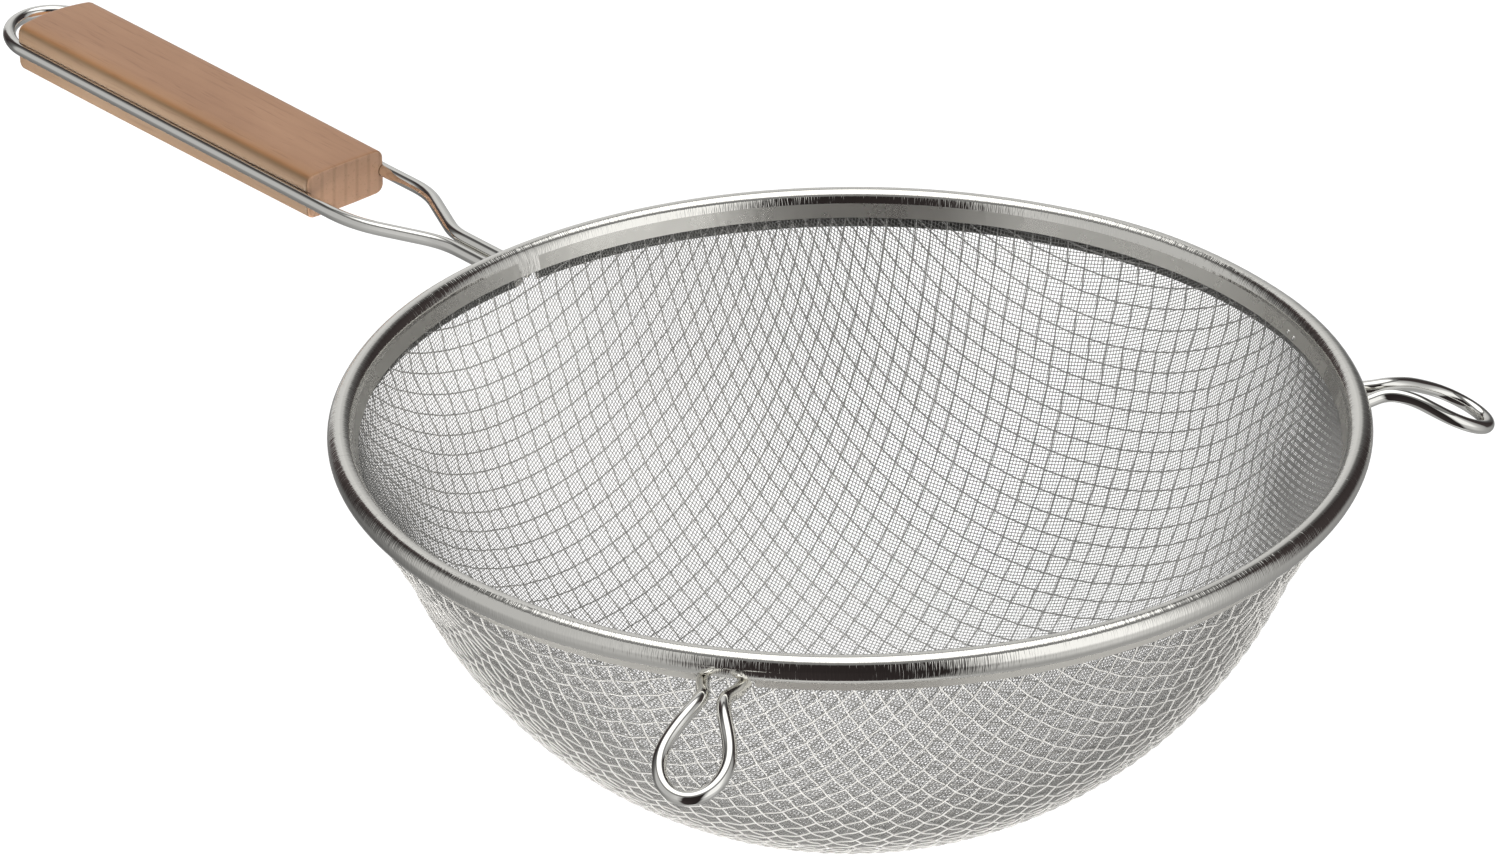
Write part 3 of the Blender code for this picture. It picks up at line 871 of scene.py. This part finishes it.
def groove(obj, wire_path):
    upright = np.tile(np.array([0.0, 0.0, 1.0]), (len(wire_path), 1))
    points, faces = tube(wire_path, upright, HANDLE_WIRE + 0.12 * MM, 40)
    cutter = mesh_object("groove_cutter", points, faces, obj.data.materials[0])
    boolean = obj.modifiers.new("groove", "BOOLEAN")
    boolean.operation = "DIFFERENCE"
    boolean.solver = "EXACT"
    boolean.object = cutter
    bpy.context.view_layer.update()
    graph = bpy.context.evaluated_depsgraph_get()
    mesh = bpy.data.meshes.new_from_object(obj.evaluated_get(graph))
    obj.modifiers.clear()
    obj.data = mesh
    bpy.data.objects.remove(cutter)
    mesh.set_sharp_from_angle(angle=math.radians(40.0))


# ---------------------------------------------------------------- studio


def studio():
    """A white paper sweep that the camera sees, and the lit studio that the metal mirrors."""
    floor = cad_box[0][2] - 0.4 * MM
    profile = [(0.01, floor), (0.6, floor), (2.0, floor), (5.0, floor), (8.0, floor)]
    for index in range(1, 13):
        angle = math.pi / 2.0 * index / 12.0
        profile.append((8.0 + 3.0 * math.sin(angle), floor + 3.0 * (1.0 - math.cos(angle))))
    profile.append((11.0, floor + 12.0))
    turns = np.arange(96) * 2.0 * math.pi / 96
    points = np.array(
        [(r * math.cos(a), r * math.sin(a), z) for r, z in profile for a in turns]
    )
    row = np.arange(len(profile) - 1)[:, None] * 96
    here, after = np.arange(96)[None, :], (np.arange(96)[None, :] + 1) % 96
    faces = np.stack([row + here, row + here + 96, row + after + 96, row + after], axis=-1)
    faces = faces.reshape(-1, 4)
    hub = np.full(96, len(points))
    middle = np.stack([here[0], after[0], hub, hub], axis=-1)
    points = np.concatenate([points, [[0.0, 0.0, floor]]])
    sweep = mesh_object("paper_sweep", points, np.concatenate([faces, middle]), paper())
    sweep.visible_glossy = False
    sweep.visible_diffuse = False
    sweep.visible_shadow = False
    sky()
    lamp("key", (-0.5, -0.6, 2.0), 1.2, 8.0)
    lamp("low_left", (-0.7, -0.9, -0.6), 0.7, 36.0)
    lamp("low_right", (1.2, -0.5, -0.3), 0.7, 33.0)
    lamp("under", (0.1, -0.35, -1.3), 0.8, 6.0)


def lamp(name, place, size, power):
    """A soft lamp aimed at the bowl. It lights matt surfaces only, as the metal mirrors the sky instead."""
    light = bpy.data.lights.new(name, "AREA")
    light.shape = "DISK"
    light.size = size
    light.energy = power
    light.color = (1.0, 0.97, 0.94)
    made = bpy.data.objects.new(name, light)
    made.location = place
    aim = Vector((-0.1, 0.0, 0.0)) - Vector(place)
    made.rotation_euler = aim.to_track_quat("-Z", "Y").to_euler()
    made.visible_glossy = False
    bpy.context.scene.collection.objects.link(made)


def banded(tree, share, bands):
    """A colour ramp from (degrees around from the near side, brightness) pairs, the dark gaps a little
    red."""
    stops = []
    for degrees, level in bands:
        warm = 0.82 if level < 0.1 else 1.0
        stops.append(((degrees + 180.0) / 360.0, (level, level * warm, level * warm)))
    return ramp(tree, share, stops)


def blended(tree, factor, first, second):
    made = tree.nodes.new("ShaderNodeMix")
    made.data_type = "RGBA"
    tree.links.new(factor, made.inputs["Factor"])
    for name, value in (("A", first), ("B", second)):
        if isinstance(value, float):
            made.inputs[name].default_value = (value, value, value, 1.0)
        else:
            tree.links.new(value, made.inputs[name])
    return made.outputs["Result"]


def edge(tree, value, low, high):
    made = node(tree, "ShaderNodeMapRange")
    made.interpolation_type = "SMOOTHSTEP"
    made.inputs["From Min"].default_value = low
    made.inputs["From Max"].default_value = high
    tree.links.new(value, made.inputs["Value"])
    return made.outputs["Result"]


def sky():
    """A white panel overhead and softboxes at the left and the near right, with dark gaps between them."""
    world = bpy.data.worlds.new("studio")
    bpy.context.scene.world = world
    world.use_nodes = True
    tree = world.node_tree
    place = tree.nodes.new("ShaderNodeTexCoord").outputs["Generated"]
    facing = node(tree, "ShaderNodeVectorRotate", Angle=-NEAR_SIDE)
    facing.rotation_type = "Z_AXIS"
    tree.links.new(place, facing.inputs["Vector"])
    parts = tree.nodes.new("ShaderNodeSeparateXYZ")
    tree.links.new(facing.outputs["Vector"], parts.inputs["Vector"])
    across, along, up = parts.outputs["Y"], parts.outputs["X"], parts.outputs["Z"]
    turn = math_node(tree, "DIVIDE", math_node(tree, "ARCTAN2", across, along), 2.0 * math.pi)
    share = math_node(tree, "ADD", turn, 0.5)
    walls = banded(tree, share, WALL_LIGHT)
    ground = banded(tree, share, GROUND_LIGHT)
    overhead = math_node(tree, "SUBTRACT", up, math_node(tree, "MULTIPLY", along, 0.12))
    steep = banded(tree, share, STEEP_LIGHT)
    steep = blended(tree, edge(tree, up, -0.99, -0.975), 0.6, steep)
    ground = blended(tree, edge(tree, up, -0.95, -0.55), steep, ground)
    colour = blended(tree, edge(tree, up, -0.35, -0.05), ground, walls)
    colour = blended(tree, edge(tree, up, 0.7, 0.74), colour, 0.1)
    colour = blended(tree, edge(tree, up, 0.74, 0.78), colour, 0.22)
    colour = blended(tree, edge(tree, overhead, 0.84, 0.92), colour, 1.4)
    tree.links.new(colour, tree.nodes["Background"].inputs["Color"])


def camera():
    """A long lens from above the near side, turned by the small roll that levels the picture's rim."""
    rise, roll, swing = 0.4783, -0.0147, math.radians(48.2)
    right = Vector((1.0, 0.0, 0.0))
    ahead = Vector((0.0, math.cos(rise), -math.sin(rise)))
    down = ahead.cross(right)
    tilted_right = math.cos(roll) * right - math.sin(roll) * down
    tilted_down = math.sin(roll) * right + math.cos(roll) * down
    axes = Matrix((tilted_right, -tilted_down, -ahead)).transposed()
    spin = Matrix.Rotation(swing, 3, "Z")
    shift = Vector((0.1908, -0.0235, 12.4596)) * RIM_OUTER
    centre = -(tilted_right * shift.x + tilted_down * shift.y + ahead * shift.z)
    lens = bpy.data.cameras.new("camera")
    lens.sensor_width = 36.0
    lens.lens = 156.0
    lens.clip_end = 50.0
    made = bpy.data.objects.new("camera", lens)
    place = spin @ centre + Vector((0.0, 0.0, RIM_HEIGHT))
    made.matrix_world = Matrix.Translation(place) @ (spin @ axes).to_4x4()
    bpy.context.scene.collection.objects.link(made)
    bpy.context.scene.camera = made


def build():
    wire = wire_metal("bright_wire", (700.0, 700.0, 700.0), 0.08)
    drawn = wire_metal("drawn_wire", (14.0, 1700.0, 1700.0), 0.5)
    fine = plain_metal("fine_mesh_steel", (0.42, 0.42, 0.41), 0.2, 0.7)
    coarse = plain_metal("coarse_mesh_steel", (0.77, 0.77, 0.75), 0.12, 0.62)
    weave(
        "fine_mesh", BOWL_RADIUS - 1.7 * MM, 1.79 * MM, FINE_PITCH, FINE_WIRE, FINE_LAY,
        4, 1, 6, fine, "fine_mesh_steel", "fine_inner_mesh",
    )
    weave(
        "coarse_mesh", BOWL_RADIUS - 0.55 * MM, 0.58 * MM, COARSE_PITCH, COARSE_WIRE, COARSE_LAY,
        8, 7, 2, coarse, "coarse_mesh_steel", "coarse_outer_mesh",
    )
    near, far = hook_path(-HOOK_ANGLE), hook_path(HOOK_ANGLE)
    handle = handle_path()
    bent_wire("near_hook", near, HOOK_WIRE, wire, "hook_near")
    bent_wire("far_hook", far, HOOK_WIRE, wire, "hook_far")
    bent_wire("bent_handle_wire", handle, HANDLE_WIRE, drawn, "handle_wire")
    feet = [near[:12], near[-12:], far[:12], far[-12:], handle[:12], handle[-12:]]
    # Painted shade: the sheet's inner side is dark steel, standing in for the shade behind the mesh under
    # the flanges.
    shaded = plain_metal("shaded_steel", (0.14, 0.14, 0.13), 0.5)
    roll = roll_metal()
    rim_band(roll, flange_metal(), shaded, feet)
    weld_spots(wire)
    wood_grip(beech(), handle)
    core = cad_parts["rim_core_wire"]
    core.data.materials.clear()
    core.data.materials.append(plain_metal("core_steel", (0.35, 0.35, 0.35), 0.45))


build()
studio()
camera()
bpy.context.scene.view_settings.view_transform = "Standard"
# Without the prefilter the denoiser keeps the single wires of the fine mesh.
bpy.context.scene.cycles.denoising_prefilter = "NONE"
